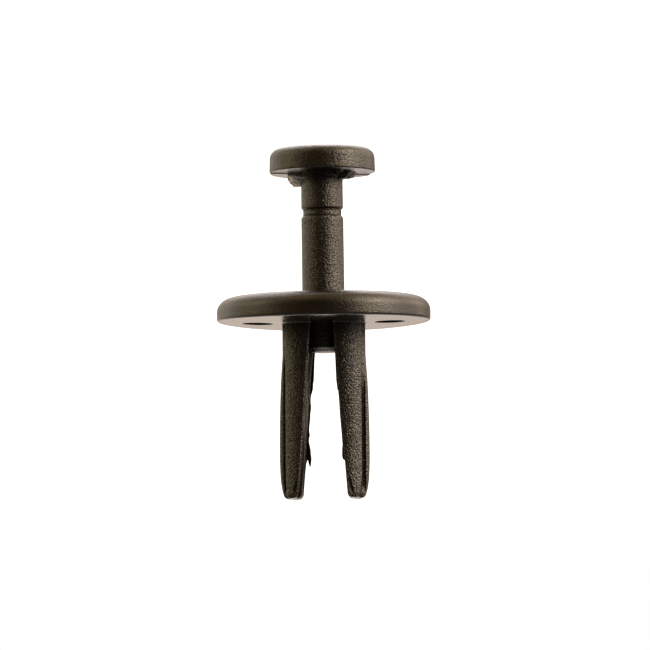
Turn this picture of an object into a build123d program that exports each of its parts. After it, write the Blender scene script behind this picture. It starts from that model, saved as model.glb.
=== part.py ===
from build123d import *
import math
import os

# Plastic push rivet, two mouldings: a split sleeve (round flange with two legs) and a drive pin.
# Millimetres. The rivet stands on the flat face of the pin's head: origin at the middle of that
# face, +Z up the axis to the tips of the legs. The legs lie along +X and -X. The pin is shown
# pulled out, as the rivet is before it is pushed home; pushing it moves it along +Z.

# ---------------------------------------------------------------- drive pin
head_r = 4.97            # head, where its side meets the underside
head_r_waist = 4.93      # head, at the top of the rounded edge (slight draft on the side)
head_t = 2.21            # head thickness
head_edge = 0.85         # rounded edge beside the resting face
head_lip = 0.10          # small round at the other edge

shaft_r_top = 1.965      # plain shaft next to the head
shaft_r_low = 1.98       # just below the groove
shaft_r_tip = 2.00       # at the tip: the shaft grows a little along its length
groove_z0 = 5.55         # lock groove: edge, floor, floor, edge
groove_z1 = 5.79
groove_z2 = 6.19
groove_z3 = 6.48
groove_r = 1.80
tip_z = 19.08            # flat end of the pin
tip_cone_z = 18.68       # start of the blunt nose
tip_flat_r = 1.25

collar_r = 2.17          # low collar under the head
collar_h = 0.52
lug_angle = 20.0         # the two pry lugs lie on this line through the axis
lug_reach = 3.20         # radius of a lug's outer end
lug_flank = 0.62         # steep flank's distance from the line
lug_crest = 0.40         # the crest ends this far on the other side of the line
lug_ramp = 1.35          # and the ramp runs out over this width
lug_foot = 0.30          # height left at the foot of the ramp
lug_h_a = 1.20           # crest height of the lug on the +X side
lug_h_b = 0.72           # crest height of the lug on the -X side
lug_corner = 0.75        # round at a lug's outer corner

# the two halves of the pin's mould do not quite meet: the underside steps along a chord
step_h = 0.11
step_angle = -21.0
step_off = 0.55

# ---------------------------------------------------------------- sleeve
flange_r = 10.0
seat_z = 16.34           # face that sits on the panel, facing +Z
flange_t = 2.54          # at the middle
flange_crown = 0.12      # the outer face is slightly crowned
flange_round_r = 1.50    # big rounded edge of the outer face: radial
flange_round_z = 1.30    # and axial
flange_seat_edge = 0.22  # small round at the seat's edge

bore_r = 2.10            # hole for the pin
bead_r = 2.045           # snap bead that drops into the pin's groove when it is home
bead_z = 16.30
bead_half = 0.26

leg_len = 16.42          # from the seat to the tips
slot_plus = 0.89         # inner face of the +X leg from the axis, at the seat
slot_minus = 1.00        # inner face of the -X leg
slot_slope = 0.0740      # how much the slot opens per mm
leg_c0 = 1.50            # centre of the leg's round front and back, at the seat
leg_c1 = 1.98            # and at the tips
leg_r0 = 2.77            # radius of the round front and back, at the seat
leg_r1 = 2.33            # and at the tips
leg_out = 3.61           # flat outer side of a leg
leg_out_tip = 0.24       # which draws in by this much over the last leg_tip_len
leg_tip_len = 2.0
tip_round_bar = 0.35     # rounds of the leg's tip seen from the front: outer and inner corner
tip_round_in = 0.50
nose_from = 12.9         # front and back curve in from here to the tip
nose_y0 = 2.43           # half depth there
nose_y1 = 2.21           # and at the tip
nose_round = 0.20        # round at the end face
rib_half = 0.75          # half width of the grip rib on a leg's outer side
rib_corner = 0.50        # its long edges are rounded
rib_tip_x = 3.72         # where the rib's slanted end meets the tip's plane
rib_tip_round = 0.50
rib_tip_from = 14.60     # the slant starts here
# how far the rib reaches from the axis, at each distance from the seat
rib_shape = (
    (-0.6, 3.89),
    (3.0, 3.89),
    (5.3, 4.05),
    (7.2, 4.13),
    (9.1, 4.18),
    (11.0, 4.205),
    (12.8, 4.21),
    (13.7, 4.18),
    (14.7, 4.12),
    (15.6, 3.99),
    (16.5, 3.86),
)

pocket_r = 1.42          # blind core pockets in the seat
pocket_at = 6.20
pocket_depth = 1.30
pocket_turn = 0.0


def revolved(points):
    """A solid of revolution about Z from (radius, z) points."""
    with BuildPart() as p:
        with BuildSketch(Plane.XZ):
            with BuildLine():
                Polyline(*[(r, z) for r, z in points], close=True)
            make_face()
        revolve(axis=Axis.Z)
    return p.part


# ================================================================ drive pin
with BuildPart() as head:
    with BuildSketch(Plane.XZ):
        with BuildLine():
            flat_r = head_r_waist - head_edge
            l1 = Line((0, 0), (flat_r, 0))
            a1 = CenterArc((flat_r, head_edge), head_edge, 270, 90)
            l2 = Line(a1 @ 1, (head_r, head_t - head_lip))
            l3 = Line(l2 @ 1, (head_r - head_lip, head_t))
            l4 = Line(l3 @ 1, (0, head_t))
            Line(l4 @ 1, (0, 0))
        make_face()
    revolve(axis=Axis.Z)

shaft = revolved(
    [
        (0, head_t - 0.2),
        (shaft_r_top, head_t - 0.2),
        (shaft_r_top, groove_z0),
        (groove_r, groove_z1),
        (groove_r, groove_z2),
        (shaft_r_low, groove_z3),
        (shaft_r_tip, tip_cone_z),
        (tip_flat_r, tip_z),
        (0, tip_z),
    ]
)


def lug(angle, height):
    """A pry lug: steep on one flank, a ramp on the other, round at its outer end."""
    with BuildPart() as p:
        # flank profile, looking along the lug: X is across it, Y is up
        with BuildSketch(Plane.YZ):
            with BuildLine():
                Polyline(
                    (lug_flank, -0.2),
                    (lug_flank, height - 0.22),
                    (lug_flank - 0.22, height),
                    (-lug_crest, height),
                    (-lug_crest - lug_ramp, lug_foot),
                    (-lug_crest - lug_ramp - 0.15, -0.2),
                    close=True,
                )
            make_face()
        extrude(amount=lug_reach)
    with BuildPart() as k:
        # turned profile, which rounds the outer end and its corner
        with BuildSketch(Plane.XZ):
            with BuildLine():
                Polyline(
                    (0, -0.3), (0, height), (lug_reach, height), (lug_reach, -0.3), close=True
                )
            make_face()
            # the sketch's own coordinates: outwards, up
            fillet(vertices().sort_by_distance((lug_reach, height, 0))[0], lug_corner)
        revolve(axis=Axis.Z)
    return Location((0, 0, head_t)) * Rotation(0, 0, angle) * (p.part & k.part)


collar = Location((0, 0, head_t - 0.2)) * Cylinder(
    collar_r, collar_h + 0.2, align=(Align.CENTER, Align.CENTER, Align.MIN)
)
# one half of the underside stands a little proud of the other
with BuildPart() as half_disc:
    with BuildSketch(Plane.XY.offset(head_t - 0.3)):
        Circle(head_r - head_lip)
    extrude(amount=0.3 + step_h)
proud = half_disc.part & (
    Rotation(0, 0, step_angle)
    * Location((0, step_off, head_t - 0.3))
    * Box(20, 20, 2, align=(Align.CENTER, Align.MIN, Align.MIN))
)

drive_pin = head.part + proud + collar + shaft
drive_pin = drive_pin + lug(lug_angle, lug_h_a) + lug(lug_angle + 180.0, lug_h_b)

# ================================================================ sleeve
flange_z0 = seat_z - flange_t
with BuildPart() as flange:
    with BuildSketch(Plane.XZ):
        with BuildLine():
            r_in = flange_r - flange_round_r
            z_in = flange_z0 + flange_crown
            f1 = Line((0, flange_z0), (bore_r + 0.9, flange_z0))
            f2 = ThreePointArc(
                f1 @ 1,
                (5.8, flange_z0 + flange_crown * 0.36),
                (r_in, z_in),
            )
            f3 = EllipticalCenterArc(
                (r_in, z_in + flange_round_z),
                flange_round_r,
                flange_round_z,
                start_angle=270,
                arc_size=90,
            )
            f4 = Line(f3 @ 1, (flange_r, seat_z - flange_seat_edge))
            f5 = CenterArc(
                (flange_r - flange_seat_edge, seat_z - flange_seat_edge),
                flange_seat_edge,
                0,
                90,
            )
            f6 = Line(f5 @ 1, (0, seat_z))
            Line(f6 @ 1, (0, flange_z0))
        make_face()
    revolve(axis=Axis.Z)


def leg(sign, slot0):
    """One leg: a round-fronted bar with a flat outer side, a grip rib on it and a rounded tip."""
    slot1 = slot0 + slot_slope * leg_len
    z0, z1 = seat_z - 0.6, seat_z + leg_len
    w0 = slot0 - slot_slope * 0.6
    with BuildPart() as bar:
        # front outline of the bar
        with BuildSketch(Plane.XZ):
            with BuildLine():
                Polyline(
                    (sign * w0, z0),
                    (sign * slot1, z1),
                    (sign * (leg_out - leg_out_tip), z1),
                    (sign * leg_out, z1 - leg_tip_len),
                    (sign * leg_out, z0),
                    close=True,
                )
            make_face()
            vs = vertices()
            fillet(vs.sort_by_distance((sign * slot1, z1, 0))[0], tip_round_in)
            vs = vertices()
            fillet(
                vs.sort_by_distance((sign * (leg_out - leg_out_tip), z1, 0))[0],
                tip_round_bar,
            )
        extrude(amount=4, both=True)
    with BuildPart() as cone:
        # the round front and back: a slightly leaning cone
        for z, c, r in (
            (z0, leg_c0, leg_r0),
            (z1 + 0.4, leg_c1, leg_r1),
        ):
            with BuildSketch(Plane.XY.offset(z)):
                with Locations((sign * c, 0)):
                    Circle(r)
        loft(ruled=True)
    with BuildPart() as rib:
        # the grip rib, with its long edges rounded
        for z, reach in rib_shape:
            with BuildSketch(Plane.XY.offset(seat_z + z)):
                with Locations((sign * (reach + 2.35) / 2, 0)):
                    RectangleRounded(reach - 2.35, 2 * rib_half, rib_corner)
        loft(ruled=True)
    with BuildPart() as rib_end:
        # front outline of the rib's tip
        with BuildSketch(Plane.XZ):
            with BuildLine():
                Polyline(
                    (sign * 2.30, z0),
                    (sign * 2.30, z1),
                    (sign * rib_tip_x, z1),
                    (sign * 4.30, seat_z + rib_tip_from),
                    (sign * 4.30, z0),
                    close=True,
                )
            make_face()
            vs = vertices()
            fillet(vs.sort_by_distance((sign * rib_tip_x, z1, 0))[0], rib_tip_round)
        extrude(amount=2, both=True)
    with BuildPart() as side:
        # side outline of the whole leg: front and back curve in towards the tip
        zn = seat_z + nose_from
        zm, ym = (zn + z1) / 2, nose_y0 - (nose_y0 - nose_y1) * 0.25
        with BuildSketch(Plane.YZ):
            with BuildLine():
                n1 = Line((-4, z0), (4, z0))
                n2 = Line((4, z0), (4, zn - 0.001))
                n3 = Line((4, zn - 0.001), (nose_y0, zn))
                n4 = ThreePointArc((nose_y0, zn), (ym, zm), (nose_y1, z1))
                n5 = Line((nose_y1, z1), (-nose_y1, z1))
                n6 = ThreePointArc((-nose_y1, z1), (-ym, zm), (-nose_y0, zn))
                n7 = Line((-nose_y0, zn), (-4, zn - 0.001))
                n8 = Line((-4, zn - 0.001), (-4, z0))
            make_face()
            vs = vertices()
            ends = [
                vs.sort_by_distance((nose_y1, z1, 0))[0],
                vs.sort_by_distance((-nose_y1, z1, 0))[0],
            ]
            fillet(ends, nose_round)
        extrude(amount=6, both=True)
    body = (bar.part & cone.part) + (rib.part & rib_end.part)
    return body & side.part


sleeve = flange.part + leg(1, slot_plus) + leg(-1, slot_minus)
# the pin's hole, through the flange and on down the inner faces of the legs
sleeve = sleeve - Location((0, 0, flange_z0 - 1)) * Cylinder(
    bore_r, leg_len + flange_t + 2, align=(Align.CENTER, Align.CENTER, Align.MIN)
)
# snap bead: a low ring inside the hole, on flange and legs
bead = revolved(
    [
        (bore_r + 0.4, bead_z - bead_half - 0.2),
        (bore_r, bead_z - bead_half),
        (bead_r, bead_z - 0.10),
        (bead_r, bead_z + 0.10),
        (bore_r, bead_z + bead_half),
        (bore_r + 0.4, bead_z + bead_half + 0.2),
    ]
)
# but it leaves the slot between the legs clear
with BuildPart() as gap:
    with BuildSketch(Plane.XZ):
        with BuildLine():
            Polyline(
                (-slot_minus, seat_z),
                (slot_plus, seat_z),
                (slot_plus + slot_slope * 4, seat_z + 4),
                (-slot_minus - slot_slope * 4, seat_z + 4),
                close=True,
            )
        make_face()
    extrude(amount=12, both=True)
sleeve = sleeve + (bead - gap.part)
# blind core pockets in the seat, in line with the legs
for s in (1, -1):
    sleeve = sleeve - Location(
        (
            s * pocket_at * math.cos(math.radians(pocket_turn)),
            s * pocket_at * math.sin(math.radians(pocket_turn)),
            seat_z - pocket_depth,
        )
    ) * Cylinder(pocket_r, 5, align=(Align.CENTER, Align.CENTER, Align.MIN))

os.makedirs("parts", exist_ok=True)
export_step(drive_pin, "parts/drive_pin.step")
export_step(sleeve, "parts/split_sleeve.step")

for name, shape in (("drive_pin", drive_pin), ("split_sleeve", sleeve)):
    bb = shape.bounding_box()
    print(name, len(shape.solids()), round(shape.volume, 2), bb.min, bb.max)
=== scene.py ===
import bpy
import bmesh
import math
import numpy as np
from mathutils import Vector, Matrix


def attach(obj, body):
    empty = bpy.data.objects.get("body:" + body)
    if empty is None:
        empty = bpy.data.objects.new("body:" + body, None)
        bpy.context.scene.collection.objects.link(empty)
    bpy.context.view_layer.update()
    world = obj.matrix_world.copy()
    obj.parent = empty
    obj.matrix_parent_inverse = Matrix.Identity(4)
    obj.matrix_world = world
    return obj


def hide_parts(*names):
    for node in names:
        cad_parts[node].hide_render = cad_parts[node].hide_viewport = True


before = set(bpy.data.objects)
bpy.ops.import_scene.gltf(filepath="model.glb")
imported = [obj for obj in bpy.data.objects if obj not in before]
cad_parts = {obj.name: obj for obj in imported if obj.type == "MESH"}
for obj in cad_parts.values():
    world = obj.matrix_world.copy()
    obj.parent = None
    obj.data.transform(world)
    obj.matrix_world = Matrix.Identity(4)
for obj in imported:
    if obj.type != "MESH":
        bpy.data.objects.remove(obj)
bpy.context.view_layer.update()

MM = 0.001

# the CAD's own sizes, in mm, that the finished surfaces are built around
SEAT = 16.34
FLANGE_OUT = 13.80
LEG = 16.42
SLOT_PLUS, SLOT_MINUS, SLOPE = 0.89, 1.00, 0.0740
HEAD_T = 2.21
HEAD_R = 4.97
LUG_ANGLE = 20.0
POCKET_X, POCKET_R = 6.20, 1.42
GROOVE = (5.70, 6.26)


# ------------------------------------------------------------------ camera
def camera_axes():
    """Right, up and back of the picture, in the row frame. The picture has +Z pointing down."""
    azimuth, elevation = math.radians(-5.0), math.radians(4.5)
    back = Vector(
        (
            math.sin(azimuth) * math.cos(elevation),
            -math.cos(azimuth) * math.cos(elevation),
            math.sin(elevation),
        )
    )
    forward = -back
    up0 = -(Vector((0, 0, 1)) - forward * forward.z)
    up0.normalize()
    right0 = forward.cross(up0)
    roll = math.atan(0.0143)
    up = up0 * math.cos(roll) + right0 * math.sin(roll)
    right = right0 * math.cos(roll) - up0 * math.sin(roll)
    return right, up, back


def make_camera():
    seat = Vector((0, 0, SEAT * MM))
    distance = 0.540
    right, up, back = camera_axes()
    data = bpy.data.cameras.new("camera")
    data.sensor_width = 36.0
    data.lens = 320.0
    data.clip_start = 0.01
    data.clip_end = 60.0
    cam = bpy.data.objects.new("camera", data)
    bpy.context.scene.collection.objects.link(cam)
    rot = Matrix((right, up, back)).transposed()
    cam.matrix_world = Matrix.Translation(seat + back * distance) @ rot.to_4x4()
    # the seat's middle lands a little left of and above the picture's middle
    data.shift_x = (325.0 - 323.8) / 650.0
    data.shift_y = -(325.0 - 323.4) / 650.0
    bpy.context.scene.camera = cam
    return cam


cam = make_camera()
bpy.context.scene.view_settings.view_transform = "Standard"
bpy.context.scene.view_settings.look = "None"


# ------------------------------------------------------------------ mesh helpers
def node_mesh_mm(node, name):
    """A copy of a CAD node's mesh, in millimetres, as a new object."""
    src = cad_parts[node]
    me = src.data.copy()
    me.name = name
    me.transform(Matrix.Diagonal((1000, 1000, 1000, 1)))
    me.materials.clear()
    ob = bpy.data.objects.new(name, me)
    bpy.context.scene.collection.objects.link(ob)
    return ob


def shell_object(name, verts, faces):
    me = bpy.data.meshes.new(name)
    me.from_pydata([tuple(map(float, v)) for v in verts], [], faces)
    bm = bmesh.new()
    bm.from_mesh(me)
    bmesh.ops.recalc_face_normals(bm, faces=bm.faces)
    bm.to_mesh(me)
    bm.free()
    ob = bpy.data.objects.new(name, me)
    bpy.context.scene.collection.objects.link(ob)
    return ob


def apply_modifiers(ob):
    dg = bpy.context.evaluated_depsgraph_get()
    dg.update()
    me = bpy.data.meshes.new_from_object(ob.evaluated_get(dg), depsgraph=dg)
    old = ob.data
    ob.modifiers.clear()
    ob.data = me
    bpy.data.meshes.remove(old)


def remesh(ob, voxel):
    m = ob.modifiers.new("remesh", "REMESH")
    m.mode = "VOXEL"
    m.voxel_size = voxel
    m.adaptivity = 0.0
    apply_modifiers(ob)


def decimate(ob, ratio):
    if ratio < 1.0:
        m = ob.modifiers.new("decimate", "DECIMATE")
        m.ratio = ratio
        apply_modifiers(ob)


def join(target, others):
    """Put other objects' meshes into the target's mesh."""
    bm = bmesh.new()
    bm.from_mesh(target.data)
    for o in others:
        bm.from_mesh(o.data)
    bm.to_mesh(target.data)
    bm.free()
    for o in others:
        me = o.data
        bpy.data.objects.remove(o)
        bpy.data.meshes.remove(me)


def coords(ob):
    n = len(ob.data.vertices)
    a = np.empty(n * 3, dtype=np.float32)
    ob.data.vertices.foreach_get("co", a)
    return a.reshape(n, 3).astype(np.float64)


def set_coords(ob, a):
    ob.data.vertices.foreach_set("co", a.astype(np.float32).ravel())
    ob.data.update()


def relax(ob, rounds, factor=0.5):
    """Plain smoothing, which takes the remesh's small steps out."""
    me = ob.data
    e = np.empty(len(me.edges) * 2, dtype=np.int32)
    me.edges.foreach_get("vertices", e)
    e = e.reshape(-1, 2)
    a = coords(ob)
    n = len(a)
    deg = np.bincount(e.ravel(), minlength=n)[:, None]
    for _ in range(rounds):
        s = np.empty_like(a)
        for k in range(3):
            s[:, k] = np.bincount(e[:, 0], a[e[:, 1], k], n) + np.bincount(e[:, 1], a[e[:, 0], k], n)
        a = a + factor * (s / np.maximum(deg, 1) - a)
    set_coords(ob, a)


def vertex_normals(ob):
    n = len(ob.data.vertices)
    a = np.empty(n * 3, dtype=np.float32)
    ob.data.vertex_normals.foreach_get("vector", a)
    return a.reshape(n, 3).astype(np.float64)


def smoothstep(t):
    t = np.clip(t, 0.0, 1.0)
    return t * t * (3 - 2 * t)


def hash3(i, j, k, seed):
    h = (i * 374761393 + j * 668265263 + k * 2147483647 + seed * 1274126177) & 0xFFFFFFFF
    h = ((h ^ (h >> 13)) * 1274126177) & 0xFFFFFFFF
    h = h ^ (h >> 16)
    return (h & 0xFFFFFF) / float(0xFFFFFF)


def noise(p, size, seed):
    """Smooth value noise in 0..1 with features of the given size."""
    q = p / size + 1000.0
    b = np.floor(q).astype(np.int64)
    f = q - b
    f = f * f * (3 - 2 * f)
    out = 0.0
    for dx in (0, 1):
        wx = f[:, 0] if dx else 1 - f[:, 0]
        for dy in (0, 1):
            wy = f[:, 1] if dy else 1 - f[:, 1]
            for dz in (0, 1):
                wz = f[:, 2] if dz else 1 - f[:, 2]
                out = out + wx * wy * wz * hash3(b[:, 0] + dx, b[:, 1] + dy, b[:, 2] + dz, seed)
    return out


def shade_smooth(ob):
    ob.data.polygons.foreach_set("use_smooth", [True] * len(ob.data.polygons))


def float_attribute(ob, name, values):
    at = ob.data.attributes.new(name, "FLOAT", "POINT")
    at.data.foreach_set("value", np.asarray(values, dtype=np.float32))


def lump(name, centre, radii, turn, seed, rough=0.12, rings=10, parts=16):
    """A closed, uneven rounded lump: rings of points, pushed in and out by noise."""
    c, s = math.cos(turn), math.sin(turn)
    pts = [(0.0, 0.0, -1.0)]
    for i in range(1, rings):
        t = -math.pi / 2 + math.pi * i / rings
        for j in range(parts):
            u = 2 * math.pi * j / parts
            pts.append((math.cos(t) * math.cos(u), math.cos(t) * math.sin(u), math.sin(t)))
    pts.append((0.0, 0.0, 1.0))
    p = np.array(pts)
    k = 1 + rough * (noise(p * 1.0 + seed * 7.3, 0.55, seed) - 0.5) * 2
    p = p * k[:, None] * np.array(radii)
    p = np.stack([p[:, 0] * c - p[:, 1] * s, p[:, 0] * s + p[:, 1] * c, p[:, 2]], 1) + np.array(centre)
    faces = []
    for j in range(parts):
        faces.append((0, 1 + (j + 1) % parts, 1 + j))
    for i in range(rings - 2):
        for j in range(parts):
            a = 1 + i * parts + j
            b = 1 + i * parts + (j + 1) % parts
            faces.append((a, b, b + parts, a + parts))
    last = len(p) - 1
    for j in range(parts):
        faces.append((last, 1 + (rings - 2) * parts + j, 1 + (rings - 2) * parts + (j + 1) % parts))
    return shell_object(name, p, faces)


# ------------------------------------------------------------------ drive pin
def build_pin():
    pin = node_mesh_mm("drive_pin", "drive_pin_look")
    ca, sa = math.cos(math.radians(LUG_ANGLE)), math.sin(math.radians(LUG_ANGLE))

    def along(r, across, z):
        """A place r out along the lugs' line and across it, on the underside of the head."""
        return (r * ca - across * sa, r * sa + across * ca, z)

    turn = math.radians(LUG_ANGLE)
    lumps = [
        # the tall pry lug: torn, lobed outer end
        lump("lobe_a1", along(2.72, 0.22, HEAD_T + 0.62), (0.50, 0.48, 0.66), turn, 3),
        lump("lobe_a2", along(2.35, -0.18, HEAD_T + 0.48), (0.62, 0.60, 0.72), turn, 5),
        lump("lobe_a3", along(3.02, 0.02, HEAD_T + 0.22), (0.34, 0.62, 0.40), turn, 8),
        # the low one: a few crumbs on its crest and ramp
        lump("lobe_b1", along(-2.55, 0.10, HEAD_T + 0.42), (0.42, 0.40, 0.34), turn, 11),
        lump("lobe_b2", along(-2.95, -0.45, HEAD_T + 0.16), (0.30, 0.36, 0.26), turn, 14),
        lump("lobe_b3", along(-1.95, 0.72, HEAD_T + 0.20), (0.36, 0.30, 0.30), turn, 17),
        lump("lobe_b4", along(-2.30, -1.15, HEAD_T + 0.10), (0.40, 0.34, 0.20), turn, 21),
    ]
    join(pin, lumps)
    remesh(pin, 0.060)
    relax(pin, 3)
    p = coords(pin)
    nrm = vertex_normals(pin)
    r = np.hypot(p[:, 0], p[:, 1])
    z = p[:, 2]
    # how far along the lugs' line, and across it
    s = p[:, 0] * ca + p[:, 1] * sa
    t = -p[:, 0] * sa + p[:, 1] * ca
    lug = (
        smoothstep((z - HEAD_T - 0.06) / 0.22)
        * smoothstep((np.abs(s) - 1.95) / 0.25)
        * (z < HEAD_T + 1.7)
    )
    # torn, lumpy plastic on the lugs
    k = (noise(p, 0.34, 31) - 0.5) * 0.16 + (noise(p, 0.17, 32) - 0.5) * 0.07
    low = lug * (s < 0)
    d = k * lug * 0.9 - 0.03 * lug
    # the shaft: shallow, uneven, only inwards so that it keeps its running fit
    shaft = smoothstep((z - HEAD_T - 0.7) / 0.4) * (r < 2.4)
    d = d - shaft * 0.006 * (noise(p, 0.42, 41) + 0.6 * noise(p, 0.2, 42))
    # the lock groove's two creases
    crease = 0.050 * np.exp(-(((z - GROOVE[0]) / 0.065) ** 2)) + 0.060 * np.exp(-(((z - GROOVE[1]) / 0.050) ** 2))
    d = d - crease * (r < 2.3) * (r > 1.0)
    # the head's rim and face: faint sinks
    head = (z < HEAD_T + 0.15) & (r > 2.3)
    d = d - head * 0.012 * noise(p, 0.9, 51)
    p = p + nrm * d[:, None]
    # the head was moulded a hair off the shaft's axis
    p[:, 0] -= 0.06 * smoothstep((HEAD_T + 0.3 - z) / 0.3) * smoothstep((r - 2.4) / 0.8)
    p[:, 2] = np.maximum(p[:, 2], 0.0)
    # the lugs stay under the flange when the pin is home
    lug_top = HEAD_T + 1.225
    over = (r > 2.08) & (p[:, 2] > lug_top - 0.10) & (z < HEAD_T + 2.0)
    p[:, 2] = np.where(over, np.minimum(lug_top - 0.10 + (p[:, 2] - lug_top + 0.10) * 0.4, lug_top), p[:, 2])
    set_coords(pin, p)
    decimate(pin, min(1.0, 175000 / max(1, sum(len(f.vertices) - 2 for f in pin.data.polygons))))
    p = coords(pin)
    s = p[:, 0] * ca + p[:, 1] * sa
    z = p[:, 2]
    pale_lobe_mask = (
        smoothstep((z - HEAD_T - 0.12) / 0.25)
        * smoothstep((s - 1.95) / 0.3)
        * smoothstep((HEAD_T + 1.7 - z) / 0.1)
    )
    torn = (
        smoothstep((z - HEAD_T - 0.10) / 0.2)
        * smoothstep((-s - 1.9) / 0.3)
        * smoothstep((HEAD_T + 1.7 - z) / 0.1)
    )
    float_attribute(pin, "pale_lobe", pale_lobe_mask)
    float_attribute(pin, "torn", torn)
    # painted shade: the reflection is dimmed under the head between the lugs, in the groove's creases, along the
    # stretch between the legs and most at the tip
    r = np.hypot(p[:, 0], p[:, 1])
    shaft = (r < 2.3) * (r > 1.0)
    painted_shade = 0.75 * smoothstep((2.75 - r) / 0.7) * smoothstep((HEAD_T + 1.3 - z) / 0.9) * (z > HEAD_T - 0.3)
    for zc, zw, k in ((GROOVE[0] - 0.02, 0.11, 0.85), (GROOVE[1], 0.06, 0.9)):
        painted_shade = np.maximum(painted_shade, k * shaft * np.exp(-(((z - zc) / zw) ** 2)))
    painted_shade = np.maximum(painted_shade, 0.45 * smoothstep((z - 16.0) / 0.6) + 0.35 * smoothstep((z - 18.45) / 0.2))
    float_attribute(pin, "painted_shade", painted_shade)
    float_attribute(pin, "seat_face", np.zeros(len(p)))
    float_attribute(pin, "flash", np.zeros(len(p)))
    head = smoothstep((HEAD_T + 0.1 - z) / 0.1)
    float_attribute(pin, "grain", 1.0 - 0.35 * head)
    return pin


# ------------------------------------------------------------------ split sleeve
def film(name, edge, y_mid, y_lean, thick, side, root=0.12):
    """Thin moulding flash along a leg's inner edge. edge: (distance from the seat, x of the leg's
    inner face there, how far the film stands out from it); side: +1 for the +X leg."""
    verts, faces = [], []
    for z, face, out in edge:
        y = y_mid(z)
        x0 = side * (face + root)
        x1 = side * (face - out)
        tip = thick * 0.35
        verts += [
            (x0, y - thick / 2, SEAT + z),
            (x1, y - tip / 2 + y_lean, SEAT + z),
            (x1, y + tip / 2 + y_lean, SEAT + z),
            (x0, y + thick / 2, SEAT + z),
        ]
    n = len(edge)
    for i in range(n - 1):
        a, b = i * 4, i * 4 + 4
        for k in range(4):
            k2 = (k + 1) % 4
            faces.append((a + k, a + k2, b + k2, b + k))
    faces.append((3, 2, 1, 0))
    faces.append(tuple((n - 1) * 4 + k for k in range(4)))
    return shell_object(name, verts, faces)


def leg_half_depth(z, slot0, inward=0.0):
    """Half the leg's depth at its inner face, at this distance from the seat."""
    c = 1.50 + (1.98 - 1.50) * (z + 0.6) / 17.42
    r = 2.77 + (2.33 - 2.77) * (z + 0.6) / 17.42
    x = slot0 + SLOPE * z + inward
    return math.sqrt(max(0.01, r * r - (x - c) ** 2))


LEAN = 0.0068          # both legs lean this much towards +X per mm
IN_PLUS = 0.13         # the +X leg's inner face lies this far inside its CAD face
IN_MINUS = 0.04
# and along the leg, by distance from the seat
SET_PLUS = ((0, 0.12), (3, 0.12), (5, 0.15), (8, 0.14), (13, 0.13), (15, 0.18), (15.9, 0.24), (16.4, 0.33))
SET_MINUS = ((0, 0.04), (12.8, 0.04), (13.0, 0.08), (14.2, 0.09), (15.3, 0.11), (16.0, 0.175), (16.4, 0.26))
OUT_PLUS = 3.45        # the +X leg's outer flat lies here, beside its rib
OUT_MINUS = 3.61


def profile(points, z):
    return np.interp(z, [a for a, _ in points], [b for _, b in points])


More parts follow.
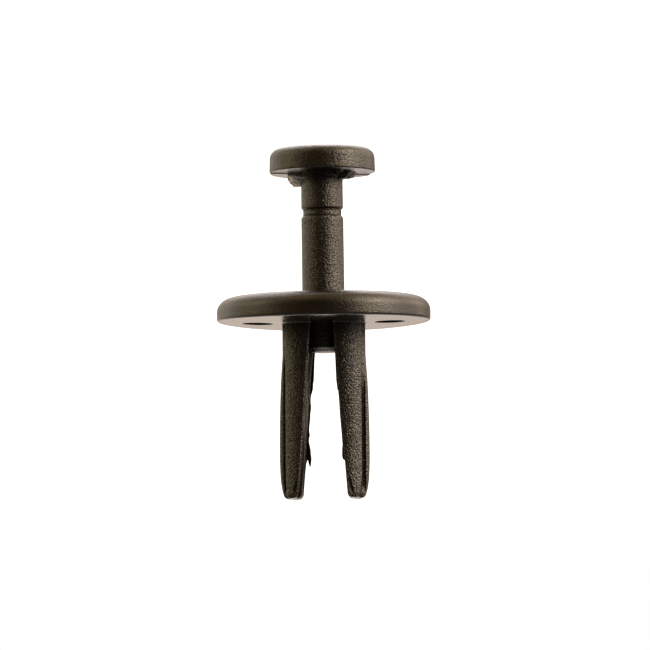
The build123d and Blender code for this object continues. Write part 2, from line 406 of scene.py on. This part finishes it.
def build_sleeve():
    sleeve = node_mesh_mm("split_sleeve", "split_sleeve_look")
    remesh(sleeve, 0.078)
    relax(sleeve, 3)
    p = coords(sleeve)
    nrm = vertex_normals(sleeve)
    x, y, z = p[:, 0].copy(), p[:, 1].copy(), p[:, 2].copy()
    r = np.hypot(x, y)
    zl = z - SEAT
    legs = smoothstep((zl - 0.02) / 0.25) * (r < 5.0)
    new = p.copy()

    for side, slot0, setback in ((1, SLOT_PLUS, SET_PLUS), (-1, SLOT_MINUS, SET_MINUS)):
        on = (side * x > 0) & (zl > 0.0) & (r < 5.0)
        face = slot0 + SLOPE * zl
        u = side * x - face                       # distance from the CAD inner face
        # the inner face stands back a little; this fades out over the leg's width
        w = on * smoothstep(zl / 0.15)
        shift = profile(setback, zl) * np.clip(1 - u / 0.9, 0, 1) * (u > -0.3)
        new[:, 0] += side * w * shift * smoothstep((np.abs(y) - 1.1) / 0.3)
        # the outer flat beside the rib
        out = OUT_PLUS if side > 0 else OUT_MINUS
        beside = on & (np.abs(y) > 0.80) & (side * x > out) & (zl > 0.015)
        new[:, 0] = np.where(beside, side * (out + (side * x - out) * 0.03), new[:, 0])
        # an undercut where the rib's sides meet that flat
        start = 1.6 if side > 0 else 4.2
        v = side * x - out
        dip = on * smoothstep((v + 0.02) / 0.06) * smoothstep((0.30 - v) / 0.16) * smoothstep((zl - start) / 3.2)
        wall = np.clip((np.abs(y) - 0.12) / 0.62, 0, 1) * (np.abs(y) <= 0.80)
        dip = dip * smoothstep((16.1 - zl) / 0.9)
        new[:, 1] -= np.sign(y) * 0.24 * dip * wall
    # the two pockets keep crisp rims
    for side in (-1, 1):
        px, py = new[:, 0] - side * POCKET_X, new[:, 1]
        d0 = np.maximum(np.hypot(px, py), 1e-6)
        a, b = d0 - POCKET_R, SEAT - new[:, 2]
        close = (np.abs(a) < 0.16) & (b > -0.05) & (b < 0.16)
        wall = ((np.abs(a) < 0.12) & (b >= 0.16) & (b < 1.1)) | (close & (a <= b)) | (close & (np.maximum(a, b) < 0.05))
        k = np.where(wall, POCKET_R / d0, 1.0)
        new[:, 0] = side * POCKET_X + px * k
        new[:, 1] = py * k
        top = (close & (a > b)) | (close & (np.maximum(a, b) < 0.05))
        new[:, 2] = np.where(top, SEAT, new[:, 2])
    x2 = new[:, 0].copy()

    for side, slot0, setback in ((1, SLOT_PLUS, SET_PLUS), (-1, SLOT_MINUS, SET_MINUS)):
        on = (side * x > 0) & (zl > 0.0) & (r < 5.0)
        face = slot0 + SLOPE * zl + profile(setback, zl)
        u = side * x2 - face
        for front in (-1, 1):
            half = np.array(np.sqrt(np.maximum(0.01, (2.77 - 0.44 * (zl + 0.6) / 17.42) ** 2
                            - (side * x2 - (1.50 + 0.48 * (zl + 0.6) / 17.42)) ** 2)))
            # a narrow bevel along the inner edges, front and back
            width = 0.11 + 0.05 * smoothstep((zl - 5) / 8)
            depth = width * math.tan(math.radians(30.0))
            m = on & (front * y > 0) & (u < width) & (u > -0.08) & (zl > 0.12)
            yy = front * new[:, 1]
            near = np.clip(1 - (half - yy) / 0.5, 0, 1)
            new[:, 1] -= front * m * depth * np.clip(1 - u / width, 0, 1) * near
            # a shallow wedge-shaped step beside it, near the tip, that deepens towards the tip
            a0 = 0.15 + 0.02 * (zl - 13.4)
            a1 = 0.17 + 0.16 * (zl - 13.4)
            inside = smoothstep((u - a0) / 0.08) * smoothstep((a1 - u) / 0.08)
            deep = 0.105 * np.clip(zl - 13.3, 0, 2.3) * (1 - 0.85 * smoothstep((zl - 15.5) / 0.8))
            surf = np.clip(1 - (half - front * y) / 0.9, 0, 1) * (front * y > 0)
            new[:, 1] -= front * on * inside * deep * surf * (zl > 13.3)

    # the seat is warped: its ends curl towards the head
    curl = np.where(x > 0, 0.0022, 0.0013) * x * x * smoothstep((z - (SEAT - 1.3)) / 1.3) * (1 - legs)
    curl = np.where(r > 3.9, curl, curl * smoothstep((r - 2.3) / 1.6))
    new[:, 2] -= curl
    # both legs lean a little
    new[:, 0] += LEAN * np.clip(zl, 0, None) * (r < 5.0) * (zl > 0)

    # shallow unevenness: fine on the legs, broad on the flange
    d = -legs * 0.007 * (noise(p, 0.40, 61) + 0.6 * noise(p, 0.20, 62))
    away = smoothstep((np.abs(np.hypot(np.abs(x) - POCKET_X, y) - POCKET_R) - 0.15) / 0.2)
    fl = (1 - legs) * (r > 2.4) * away
    d = d - fl * 0.010 * noise(p, 0.9, 71)
    new = new + nrm * d[:, None]
    set_coords(sleeve, new)
    decimate(sleeve, min(1.0, 190000 / max(1, sum(len(f.vertices) - 2 for f in sleeve.data.polygons))))

    # moulding flash, thin and ragged, on the inner edges
    def line(slot0, inward, side, pts):
        return [
            (z1, slot0 + SLOPE * z1 + inward + side * LEAN * z1, out)
            for z1, out in pts
        ]

    far_plus = (
        (0.4, 0.10), (0.9, 0.13), (1.5, 0.12), (2.1, 0.15), (2.6, 0.155), (3.2, 0.14), (3.9, 0.17),
        (4.5, 0.19), (5.1, 0.205), (5.6, 0.17), (5.95, 0.185), (6.3, 0.12), (6.6, 0.05), (6.9, 0.03),
        (7.2, 0.06), (7.5, 0.11), (7.85, 0.13), (8.3, 0.10), (8.8, 0.12), (9.4, 0.09), (9.9, 0.10),
        (10.1, 0.15), (10.3, 0.185), (10.55, 0.15), (10.85, 0.137), (11.2, 0.22), (11.6, 0.34),
        (12.0, 0.40), (12.35, 0.45), (12.5, 0.43), (12.56, 0.16), (12.9, 0.05), (13.6, 0.02), (14.4, 0.01),
    )
    near_minus = (
        (1.2, 0.03), (2.0, 0.02), (3.0, 0.025), (3.9, 0.05), (4.5, 0.08), (4.85, 0.085), (5.15, 0.10),
        (5.45, 0.113), (5.9, 0.10), (6.35, 0.08), (6.5, 0.02), (6.7, 0.01), (7.6, 0.01), (8.4, 0.03),
        (9.15, 0.033), (10.2, 0.025), (11.2, 0.03), (11.6, 0.035), (11.8, 0.09), (12.0, 0.11), (12.3, 0.14),
        (12.6, 0.16), (12.85, 0.10), (12.95, 0.01),
    )
    far_minus = (
        (0.6, 0.05), (1.6, 0.08), (2.6, 0.05), (3.4, 0.09), (4.4, 0.06), (5.2, 0.10), (6.0, 0.07),
        (7.2, 0.05), (8.1, 0.09), (9.3, 0.05), (10.4, 0.07), (11.3, 0.04), (12.2, 0.02),
    )
    yf = lambda z1: leg_half_depth(z1, SLOT_PLUS, IN_PLUS) - 0.13
    yn = lambda z1: -(leg_half_depth(z1, SLOT_MINUS, IN_MINUS) - 0.13)
    yb = lambda z1: leg_half_depth(z1, SLOT_MINUS, IN_MINUS) - 0.13
    films = [
        film("film_far_plus", line(SLOT_PLUS, IN_PLUS, 1, far_plus), yf, 0.03, 0.09, 1),
        film("film_near_minus", line(SLOT_MINUS, IN_MINUS, -1, near_minus), yn, -0.02, 0.10, -1),
        film("film_far_minus", line(SLOT_MINUS, IN_MINUS, -1, far_minus), yb, 0.02, 0.09, -1),
    ]
    # the torn tongue that hangs off the longest film, pointing to the tip
    tongue = []
    for z1, a, b in ((12.20, 0.05, 0.45), (12.55, 0.13, 0.50), (12.85, 0.22, 0.50), (13.12, 0.31, 0.485), (13.30, 0.40, 0.44)):
        face = SLOT_PLUS + SLOPE * z1 + IN_PLUS + LEAN * z1
        tongue.append((z1, face - a, face - b))
    verts, faces = [], []
    for i, (z1, xa, xb) in enumerate(tongue):
        yy = yf(z1) + 0.03 - 0.02 * i
        for xx, dy in ((xa, -0.03), (xb, -0.02), (xb, 0.02), (xa, 0.03)):
            verts.append((xx, yy + dy, SEAT + z1))
    for i in range(len(tongue) - 1):
        a, b = i * 4, i * 4 + 4
        for k in range(4):
            k2 = (k + 1) % 4
            faces.append((a + k, a + k2, b + k2, b + k))
    faces.append((3, 2, 1, 0))
    n = (len(tongue) - 1) * 4
    faces.append((n, n + 1, n + 2, n + 3))
    films.append(shell_object("film_tongue", verts, faces))

    base = len(sleeve.data.vertices)
    join(sleeve, films)
    p = coords(sleeve)
    seat_face = smoothstep((p[:, 2] - (SEAT - 0.5)) / 0.12) * (np.hypot(p[:, 0], p[:, 1]) < 9.7) * (p[:, 2] < SEAT + 0.04)
    fl = np.zeros(len(p))
    fl[base:] = 1.0
    # painted shade: the pockets are dimmed to black inside
    inside = (np.hypot(np.abs(p[:, 0]) - POCKET_X, p[:, 1]) < POCKET_R + 0.022) & (p[:, 2] > SEAT - 2.0)
    painted_shade = 1.0 * inside
    # painted shade: the legs' roots, and their inner faces, lie in each other's shade; the bore between the legs is
    # dimmed too
    zl = p[:, 2] - SEAT
    near = (np.hypot(p[:, 0], p[:, 1]) < 5.0) * smoothstep((zl - 0.02) / 0.05)
    root = 0.65 * near * smoothstep((2.2 - zl) / 2.0)
    side = np.sign(p[:, 0])
    slot = np.where(side > 0, SLOT_PLUS, SLOT_MINUS) + SLOPE * zl + side * LEAN * zl
    set_in = np.where(side > 0, profile(SET_PLUS, zl), profile(SET_MINUS, zl))
    inner = 0.94 * near * (zl > 0.05) * smoothstep((slot + set_in + 0.05 - side * p[:, 0]) / 0.05) * (fl < 0.5)
    channel = 0.6 * near * smoothstep((2.25 - np.hypot(p[:, 0], p[:, 1])) / 0.15) * (fl < 0.5)
    painted_shade = np.maximum(np.maximum(painted_shade, root), np.maximum(inner, channel))
    # painted shade on the flash films and on the legs' ends
    painted_shade = np.maximum(painted_shade, 0.75 * fl)
    painted_shade = np.maximum(painted_shade, 0.40 * near * smoothstep((zl - LEG + 0.22) / 0.12))
    float_attribute(sleeve, "painted_shade", painted_shade)
    float_attribute(sleeve, "seat_face", seat_face)
    float_attribute(sleeve, "flash", fl)
    on_leg = smoothstep((p[:, 2] - SEAT - 0.05) / 0.3) * (np.hypot(p[:, 0], p[:, 1]) < 5.0)
    on_end = smoothstep((p[:, 2] - SEAT - LEG + 0.55) / 0.35)
    float_attribute(sleeve, "grain", (0.35 + 0.65 * on_leg) * (1 - 0.6 * on_end))
    float_attribute(sleeve, "pale_lobe", np.zeros(len(p)))
    float_attribute(sleeve, "torn", np.zeros(len(p)))
    return sleeve


# ------------------------------------------------------------------ material
def plastic(name, seed, base=(0.0078, 0.0058, 0.0044), rough=0.155):
    """Black-brown moulded nylon: satin, with a spark-eroded grain, paler on the tall lug's lobed end, and with painted
    shade where its reflection is turned down.
    """
    m = bpy.data.materials.new(name)
    m.use_nodes = True
    nt = m.node_tree
    b = nt.nodes["Principled BSDF"]
    new, link = nt.nodes.new, nt.links.new

    def attr(n):
        a = new("ShaderNodeAttribute")
        a.attribute_type = "GEOMETRY"
        a.attribute_name = n
        return a.outputs["Fac"]

    def math_node(op, a, c, clamp=False):
        k = new("ShaderNodeMath")
        k.operation = op
        k.use_clamp = clamp
        for i, v in enumerate((a, c)):
            if v is None:
                continue
            if isinstance(v, (int, float)):
                k.inputs[i].default_value = v
            else:
                link(v, k.inputs[i])
        return k.outputs[0]

    def noise_node(scale, detail, rough_, w):
        n = new("ShaderNodeTexNoise")
        n.noise_dimensions = "4D"
        n.inputs["W"].default_value = w
        n.inputs["Scale"].default_value = scale
        n.inputs["Detail"].default_value = detail
        n.inputs["Roughness"].default_value = rough_
        link(tc.outputs["Object"], n.inputs["Vector"])
        return n.outputs["Fac"]

    def ramp(v, lo, hi):
        k = new("ShaderNodeMapRange")
        k.interpolation_type = "SMOOTHSTEP"
        k.inputs["From Min"].default_value = lo
        k.inputs["From Max"].default_value = hi
        link(v, k.inputs["Value"])
        return k.outputs["Result"]

    def mix(fac, a, c):
        k = new("ShaderNodeMix")
        k.data_type = "RGBA"
        if isinstance(fac, (int, float)):
            k.inputs[0].default_value = fac
        else:
            link(fac, k.inputs[0])
        for i, v in ((6, a), (7, c)):
            if isinstance(v, tuple):
                k.inputs[i].default_value = (*v, 1)
            else:
                link(v, k.inputs[i])
        return k.outputs[2]

    tc = new("ShaderNodeTexCoord")
    grain = noise_node(6000.0, 2.0, 0.50, seed)
    fine = noise_node(11000.0, 1.0, 0.5, seed + 3.1)
    broad = noise_node(420.0, 3.0, 0.6, seed + 5.7)
    torn_noise = noise_node(2600.0, 3.0, 0.65, seed + 9.3)

    # colour: brown-black, a little uneven; paler on the tall lug's lobed end
    body = mix(ramp(broad, 0.35, 0.65), base, tuple(v * 1.35 for v in base))
    pale = mix(ramp(torn_noise, 0.38, 0.60), (0.50, 0.44, 0.385), (0.90, 0.84, 0.77))
    pale_lobe_mask = math_node("MULTIPLY", attr("pale_lobe"), ramp(torn_noise, 0.12, 0.40), True)
    col = mix(pale_lobe_mask, body, pale)
    specks = math_node("MULTIPLY", attr("torn"), ramp(torn_noise, 0.60, 0.72), True)
    col = mix(specks, col, (0.11, 0.09, 0.072))
    link(col, b.inputs["Base Color"])

    # the grain's polish is uneven: its reflection is a little stronger in some specks than in others
    sheen = ramp(noise_node(8600.0, 1.5, 0.5, seed + 12.9), 0.36, 0.64)
    s0 = math_node("SUBTRACT", sheen, 0.5)
    s1 = math_node("MULTIPLY", s0, attr("grain"))
    s2 = math_node("MULTIPLY_ADD", s1, 0.62)
    s2.node.inputs[2].default_value = 0.5
    # painted shade: the reflection is turned down wherever the painted-shade attribute is set
    outside_painted_shade = math_node("SUBTRACT", 1.0, attr("painted_shade"), True)
    s3 = math_node("MULTIPLY", s2, outside_painted_shade, True)
    link(s3, b.inputs["Specular IOR Level"])

    # roughness: satin, less so on torn plastic
    r0 = math_node("MULTIPLY_ADD", ramp(broad, 0.3, 0.7), 0.06)
    r0.node.inputs[2].default_value = rough - 0.03
    r1 = math_node("MULTIPLY_ADD", pale_lobe_mask, 0.45)
    link(r0, r1.node.inputs[2])
    r2 = math_node("MULTIPLY_ADD", attr("torn"), 0.22)
    link(r1, r2.node.inputs[2])
    link(r2, b.inputs["Roughness"])

    # grain
    h = math_node("MULTIPLY", grain, attr("grain"))
    h2 = math_node("MULTIPLY_ADD", fine, 0.12)
    link(h, h2.node.inputs[2])
    h3 = math_node("MULTIPLY_ADD", math_node("MULTIPLY", torn_noise, attr("torn")), 0.7)
    link(h2, h3.node.inputs[2])
    h4 = math_node("MULTIPLY_ADD", math_node("MULTIPLY", torn_noise, attr("pale_lobe")), 0.6)
    link(h3, h4.node.inputs[2])
    bump = new("ShaderNodeBump")
    bump.inputs["Strength"].default_value = 1.0
    bump.inputs["Distance"].default_value = 0.100 * MM
    link(h4, bump.inputs["Height"])
    link(bump.outputs["Normal"], b.inputs["Normal"])
    return m


pin_mat = plastic("pin_plastic_look", 1.7)
sleeve_mat = plastic("sleeve_plastic_look", 4.2)
for n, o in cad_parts.items():
    o.data.materials.clear()
    o.data.materials.append(pin_mat if n == "drive_pin" else sleeve_mat)

for build, node, body, slot, mat in (
    (build_pin, "drive_pin", "pin", "pin_plastic", pin_mat),
    (build_sleeve, "split_sleeve", "sleeve", "sleeve_plastic", sleeve_mat),
):
    ob = build()
    ob.data.transform(Matrix.Diagonal((MM, MM, MM, 1)))
    shade_smooth(ob)
    ob.data.materials.append(mat)
    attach(ob, body)
    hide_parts(node)

# ------------------------------------------------------------------ light
# Soft boxes around the object, as round lobes of a world light. Azimuth is measured round the
# picture's upright from the camera towards its right, elevation upwards in the picture; the
# sharper a lobe, the higher its third number. Then its colour and strength.
LIGHTS = (
    (57.0, 22.0, 30.0, (4.95, 3.95, 2.50)),      # key, right and above
    (69.0, 33.0, 14.0, (2.95, 2.66, 2.70)),
    (77.0, 16.0, 14.0, (1.20, 1.05, 0.90)),
    (89.0, 26.0, 6.0, (2.13, 1.81, 1.44)),
    (81.0, 45.0, 6.0, (1.40, 0.96, 0.30)),
    (129.0, 14.0, 30.0, (2.00, 1.62, 1.28)),     # right, behind
    (-113.0, 19.0, 2.5, (0.76, 0.54, 0.20)),     # broad fill from the left and behind
    (-81.0, 23.0, 14.0, (1.80, 1.53, 1.05)),
    (-44.0, 62.0, 30.0, (1.23, 0.84, 0.45)),
    (-126.0, 10.0, 14.0, (0.74, 0.84, 0.95)),
    (-129.0, 59.0, 30.0, (2.45, 2.38, 2.20)),
    (166.0, 47.0, 14.0, (2.37, 2.10, 1.92)),     # top light, behind
    (-173.0, 39.0, 14.0, (2.13, 1.95, 2.05)),
    (-175.0, -29.0, 14.0, (1.50, 1.25, 1.14)),   # low, behind: the seat's sheen
    (180.0, -64.0, 8.0, (1.60, 1.54, 1.46)),     # soft light over the legs' tips
    (0.0, -90.0, 3.0, (0.50, 0.48, 0.46)),
)
AMBIENT = (0.008, 0.008, 0.008)


def make_world():
    world = bpy.data.worlds.new("studio")
    bpy.context.scene.world = world
    world.use_nodes = True
    nt = world.node_tree
    nt.nodes.clear()
    new, link = nt.nodes.new, nt.links.new
    right, up, back = camera_axes()
    tc = new("ShaderNodeTexCoord")
    unit = new("ShaderNodeVectorMath")
    unit.operation = "NORMALIZE"
    link(tc.outputs["Generated"], unit.inputs[0])
    total = None
    for az, el, sharp, colour in LIGHTS:
        a, e = math.radians(az), math.radians(el)
        d = right * (math.sin(a) * math.cos(e)) + up * math.sin(e) + back * (math.cos(a) * math.cos(e))
        dot = new("ShaderNodeVectorMath")
        dot.operation = "DOT_PRODUCT"
        link(unit.outputs[0], dot.inputs[0])
        dot.inputs[1].default_value = tuple(d)
        less = new("ShaderNodeMath")
        less.operation = "SUBTRACT"
        link(dot.outputs["Value"], less.inputs[0])
        less.inputs[1].default_value = 1.0
        times = new("ShaderNodeMath")
        times.operation = "MULTIPLY"
        link(less.outputs[0], times.inputs[0])
        times.inputs[1].default_value = sharp
        ex = new("ShaderNodeMath")
        ex.operation = "EXPONENT"
        link(times.outputs[0], ex.inputs[0])
        scale = new("ShaderNodeVectorMath")
        scale.operation = "SCALE"
        scale.inputs[0].default_value = colour
        link(ex.outputs[0], scale.inputs["Scale"])
        add = new("ShaderNodeVectorMath")
        add.operation = "ADD"
        link(scale.outputs[0], add.inputs[0])
        if total is None:
            add.inputs[1].default_value = AMBIENT
        else:
            link(total, add.inputs[1])
        total = add.outputs[0]
    light = new("ShaderNodeBackground")
    light.name = "light"
    link(total, light.inputs["Color"])
    sweep = new("ShaderNodeBackground")
    sweep.inputs["Color"].default_value = (1, 1, 1, 1)
    sweep.inputs["Strength"].default_value = 1.0
    path = new("ShaderNodeLightPath")
    pick = new("ShaderNodeMixShader")
    link(path.outputs["Is Camera Ray"], pick.inputs[0])
    link(light.outputs[0], pick.inputs[1])
    link(sweep.outputs[0], pick.inputs[2])
    out = new("ShaderNodeOutputWorld")
    link(pick.outputs[0], out.inputs["Surface"])
    return world


world = make_world()

# ------------------------------------------------------------------ floor
# a pale sheet that only the camera sees, so that it doesn't cut off the light from beneath it
ring = 96
drop = -0.00004   # a hair under the head, so that the two faces do not coincide
verts = [(0.0, 0.0, drop)] + [
    (1.1 * math.cos(2 * math.pi * i / ring), 1.1 * math.sin(2 * math.pi * i / ring), drop)
    for i in range(ring)
]
mesh = bpy.data.meshes.new("floor")
mesh.from_pydata(verts, [], [(0, 1 + i, 1 + (i + 1) % ring) for i in range(ring)])
floor = bpy.data.objects.new("floor", mesh)
bpy.context.scene.collection.objects.link(floor)
fm = bpy.data.materials.new("floor_look")
fm.use_nodes = True
fb = fm.node_tree.nodes["Principled BSDF"]
fb.inputs["Base Color"].default_value = (0.85, 0.85, 0.85, 1)
fb.inputs["Roughness"].default_value = 0.9
fb.inputs["Specular IOR Level"].default_value = 0.0
fb.inputs["Emission Color"].default_value = (1, 1, 1, 1)
fb.inputs["Emission Strength"].default_value = 0.92
mesh.materials.append(fm)
floor.visible_diffuse = False
floor.visible_glossy = False
floor.visible_transmission = False
floor.visible_shadow = False
